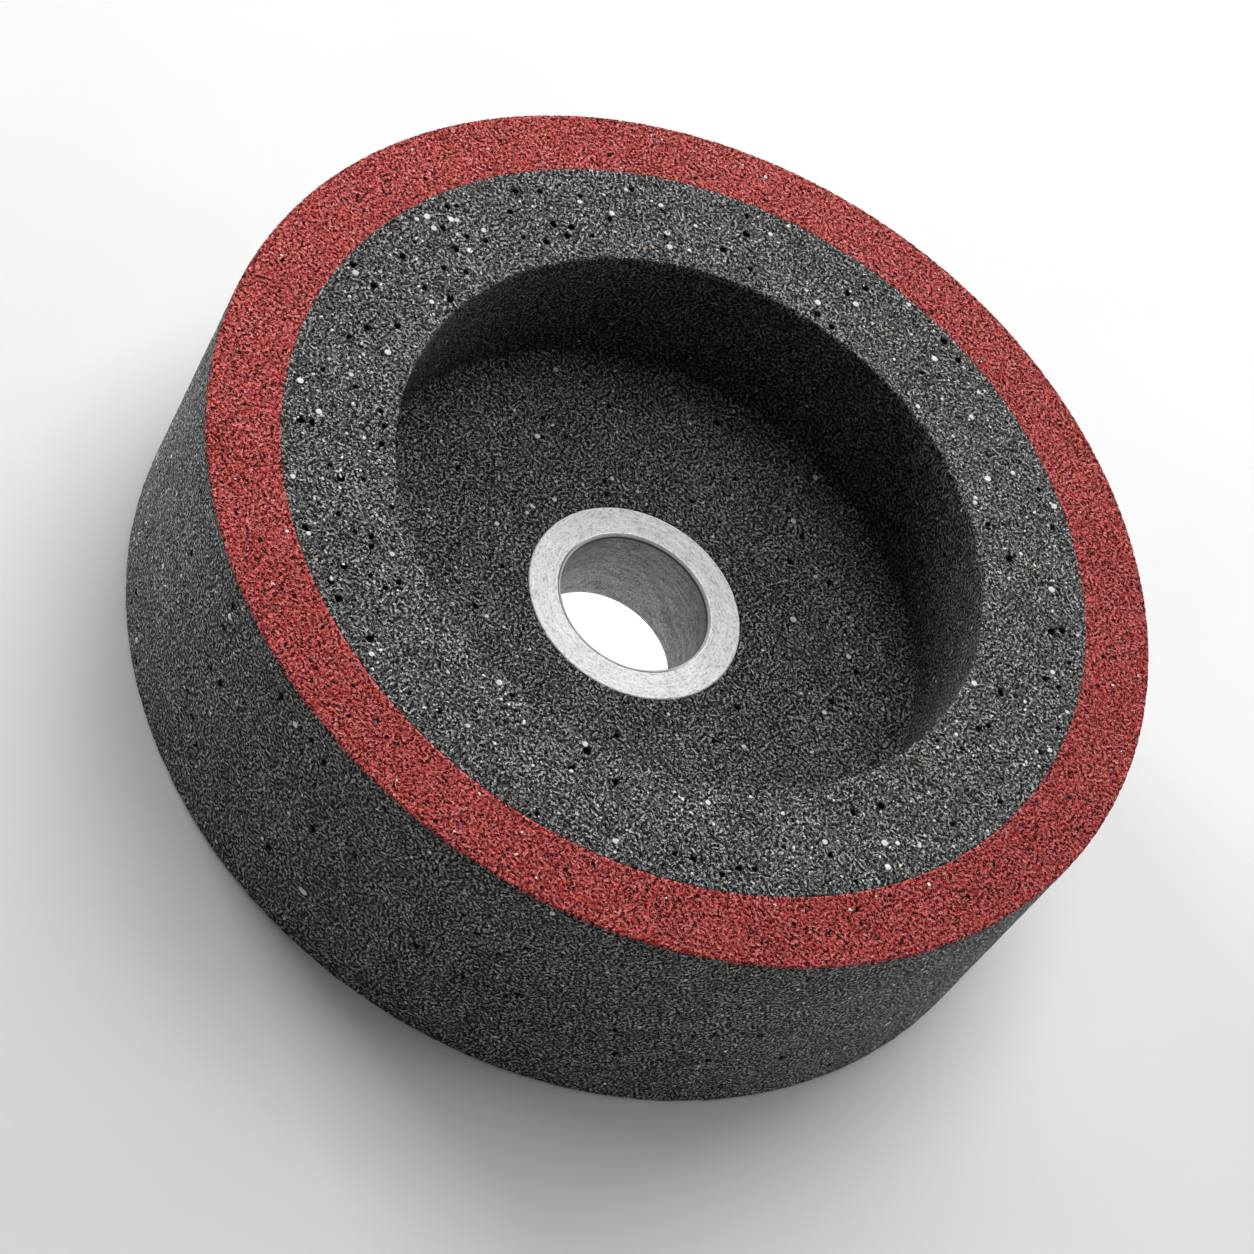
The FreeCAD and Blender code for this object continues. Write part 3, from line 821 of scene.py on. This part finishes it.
def metal(name):
    m = Nodes(name)
    p = m.point_mm()
    xyz = m.node("ShaderNodeSeparateXYZ", {"Vector": p})
    flat = m.node("ShaderNodeCombineXYZ", {"X": xyz.outputs["X"], "Y": xyz.outputs["Y"], "Z": 0.0})
    radius = m.vmath("LENGTH", flat.outputs[0])
    # short faint tool marks round the axis, and soft clouds
    marks_at = m.node("ShaderNodeCombineXYZ", {
        "X": m.math("MULTIPLY", xyz.outputs["X"], 1.5), "Y": m.math("MULTIPLY", xyz.outputs["Y"], 1.5),
        "Z": m.math("MULTIPLY", m.math("ADD", xyz.outputs["Z"], radius), 4.2),
    })
    marks = m.noise(marks_at.outputs[0], 1.0, 1.0, 0.6)
    scratch = m.remap(marks.outputs[0], 0.56, 0.64, 0.0, 1.0, smooth=True)
    long_at = m.node("ShaderNodeCombineXYZ", {
        "X": m.math("MULTIPLY", xyz.outputs["X"], 0.30), "Y": m.math("MULTIPLY", xyz.outputs["Y"], 0.30),
        "Z": m.math("MULTIPLY", m.math("ADD", xyz.outputs["Z"], radius), 1.9),
    })
    bands = m.noise(long_at.outputs[0], 1.0, 1.0, 0.6)
    cloud = m.noise(p, 0.40, 3.0, 0.60, distort=0.8)
    grit = m.noise(p, 4.2, 1.0, 0.6)
    tone = m.math("MULTIPLY_ADD", m.math("SUBTRACT", cloud.outputs[0], 0.5), 0.42, 0.55)
    tone = m.math("MULTIPLY_ADD", m.math("SUBTRACT", grit.outputs[0], 0.5), 0.70, tone)
    tone = m.math("MULTIPLY_ADD", m.math("SUBTRACT", bands.outputs[0], 0.5), 0.40, tone)
    colour = m.ramp(tone, [(0.28, (0.53, 0.527, 0.522)), (0.46, (0.715, 0.711, 0.703)), (0.58, (0.790, 0.786, 0.778)), (0.76, (0.87, 0.866, 0.858))])
    # painted shade: the bore is coloured much darker than the faced end
    inside = m.remap(radius, BORE + 0.06, BORE + 0.22, 1.0, 0.0)
    bore_shade = m.ramp(tone, [(0.28, (0.110, 0.110, 0.112)), (0.5, (0.260, 0.260, 0.262)), (0.72, (0.48, 0.48, 0.482))])
    colour = m.mix(inside, colour, bore_shade)
    # painted highlight: the chamfers are coloured pale and made mostly non-metallic, so they show as bright lines all
    # round
    slope = m.node("ShaderNodeSeparateXYZ", {"Vector": m.node("ShaderNodeTexCoord").outputs["Normal"]})
    lean = m.math("ABSOLUTE", slope.outputs["Z"])
    bevel = m.math("MULTIPLY", m.remap(lean, 0.15, 0.45), m.remap(lean, 0.97, 0.85))
    colour = m.mix(bevel, colour, (0.74, 0.737, 0.732, 1.0))
    # painted highlight: the outer arris is coloured near white
    rim_highlight = m.remap(radius, SEAT - 0.30, SEAT - 0.22)
    colour = m.mix(m.math("MULTIPLY", rim_highlight, 0.9), colour, (0.97, 0.967, 0.962, 1.0))
    # painted light and shade: the lip of the bore is coloured bright on one side and dark on the other
    lip = m.remap(m.math("ABSOLUTE", m.math("SUBTRACT", radius, BORE + 0.50)), 0.13, 0.06)
    side = m.math("ADD", m.math("MULTIPLY", xyz.outputs["X"], 0.34), m.math("MULTIPLY", xyz.outputs["Y"], 0.94))
    side = m.remap(m.math("DIVIDE", side, radius), -0.35, 0.15, 0.0, 1.0, smooth=True)
    colour = m.mix(m.math("MULTIPLY", lip, 0.8), colour, m.ramp(side, [(0.0, (0.10, 0.10, 0.10)), (1.0, (0.95, 0.947, 0.942))]))
    colour = m.mix(m.math("MULTIPLY", scratch, 0.50), colour, m.mix(1.0, colour, (0.45, 0.44, 0.43, 1.0), "MULTIPLY"))
    # painted shade: a dark line where the inner chamfer meets the bore
    edge = m.math("ABSOLUTE", m.math("SUBTRACT", radius, BORE + 0.05))
    deep = m.math("ABSOLUTE", m.math("SUBTRACT", xyz.outputs["Z"], FLOOR - 0.42))
    painted_dark_line = m.remap(m.math("MAXIMUM", edge, deep), 0.08, 0.16, 1.0, 0.0, smooth=True)
    colour = m.mix(m.math("MULTIPLY", painted_dark_line, 0.85), colour, (0.03, 0.03, 0.03, 1.0))
    rough = m.math("MULTIPLY_ADD", bevel, 0.10, m.remap(cloud.outputs[0], 0.35, 0.65, 0.66, 0.76))
    # painted highlight: the chamfers are made mostly non-metallic so they read bright
    metallic = m.math("SUBTRACT", 1.0, m.math("MULTIPLY", bevel, 0.85))
    height = m.math("MULTIPLY_ADD", scratch, -0.6, m.math("MULTIPLY", grit.outputs[0], 0.8))
    bump = m.node("ShaderNodeBump", {"Strength": 0.8, "Distance": 0.012 * MM, "Height": height})
    return m.finish(Base_Color=colour, Metallic=metallic, Roughness=rough, Normal=bump.outputs[0])


metal_mat = metal("turned_metal")

for ob, mat in (
    (body_ob, grey_mat), (band_ob, red_mat), (bush_ob, metal_mat),
    (round_ob, round_mat), (bright_ob, bright_mat), (tan_ob, tan_mat),
):
    ob.data.materials.append(mat)
# the CAD pieces under the visual ones keep the same finishes
for node, mat in (("abrasive_body", grey_mat), ("red_face_band", red_mat), ("arbor_bush", metal_mat)):
    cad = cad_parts[node]
    for slot_index in range(len(cad.material_slots)):
        cad.material_slots[slot_index].material = mat

for ob in (body_ob, band_ob, bush_ob, round_ob, bright_ob, tan_ob):
    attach(ob, "root")
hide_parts("abrasive_body")
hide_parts("red_face_band")
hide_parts("arbor_bush")

# ---------------------------------------------------------------------------
# Floor with a sweep all round, and light
# ---------------------------------------------------------------------------
profile = [(0.0, 0.0), (0.06, 0.0), (0.12, 0.0), (0.3, 0.0), (0.8, 0.0), (1.7, 0.0)]
profile += [(1.7 + 0.8 * math.sin(a), 0.8 - 0.8 * math.cos(a)) for a in np.linspace(0.05, math.pi / 2, 14)]
profile += [(2.5, 1.3)]
NS = 128
sv, sf = [(0.0, 0.0, 0.0)], []
for r, z in profile[1:]:
    sv += [(r * math.cos(TAU * k / NS), r * math.sin(TAU * k / NS), z) for k in range(NS)]
for k in range(NS):
    sf.append((0, 1 + k, 1 + (k + 1) % NS))
for j in range(len(profile) - 2):
    for k in range(NS):
        a, b = 1 + j * NS + k, 1 + j * NS + (k + 1) % NS
        sf.append((a, a + NS, b + NS, b))
sweep_mesh = bpy.data.meshes.new("floor")
sweep_mesh.from_pydata(sv, [], sf)
sweep_mesh.polygons.foreach_set("use_smooth", np.ones(len(sf), bool))
sweep_mesh.update()
floor_ob = bpy.data.objects.new("floor", sweep_mesh)
SCENE.collection.objects.link(floor_ob)
m = Nodes("floor")
p = m.point_mm()
paper = m.noise(p, 0.02, 1.0)
floor_colour = m.ramp(paper.outputs[0], [(0.3, (0.77, 0.77, 0.77)), (0.7, (0.80, 0.80, 0.80))])
# the table is lit from below where the bore looks down on it
glow = m.remap(m.vmath("LENGTH", p), 13.5, 15.5, 0.82, 0.04, smooth=True)
floor_mat = m.finish(
    Base_Color=floor_colour, Roughness=0.9, Specular_IOR_Level=0.1, Emission_Color=(1.0, 1.0, 1.0, 1.0), Emission_Strength=glow,
)
floor_mat.cycles.emission_sampling = "NONE"
floor_ob.data.materials.append(floor_mat)

world = bpy.data.worlds.new("world")
world.use_nodes = True
background = world.node_tree.nodes["Background"]
background.inputs["Color"].default_value = (1.0, 1.0, 1.0, 1.0)
background.inputs["Strength"].default_value = 0.022
SCENE.world = world


def softbox(name, place, target, size, power):
    data = bpy.data.lights.new(name, "AREA")
    data.shape = "RECTANGLE"
    data.size, data.size_y = size
    data.energy = power
    ob = bpy.data.objects.new(name, data)
    SCENE.collection.objects.link(ob)
    ob.location = place
    ob.rotation_mode = "QUATERNION"
    ob.rotation_quaternion = (Vector(target) - Vector(place)).to_track_quat("-Z", "Y")
    return ob


softbox("key", (-0.10, 0.95, 0.95), (0.0, 0.0, 0.02), (1.2, 0.9), 5.0)
softbox("low", (0.05, 1.30, 0.50), (0.0, 0.0, 0.02), (1.4, 0.5), 14.1)
softbox("left", (-1.20, 0.52, 0.34), (0.0, 0.0, 0.02), (0.5, 0.6), 15.3)
softbox("right", (1.20, 0.52, 0.34), (0.0, 0.0, 0.02), (0.5, 0.6), 3.7)
softbox("top", (0.0, 0.40, 1.55), (0.0, 0.0, 0.02), (1.0, 1.0), 11.4)

SCENE.view_settings.view_transform = "Standard"
SCENE.view_settings.look = "None"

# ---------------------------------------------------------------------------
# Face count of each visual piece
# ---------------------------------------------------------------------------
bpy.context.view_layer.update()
for ob in (body_ob, band_ob, bush_ob, round_ob, bright_ob, tan_ob):
    print("PIECE", ob.name, len(ob.data.polygons))
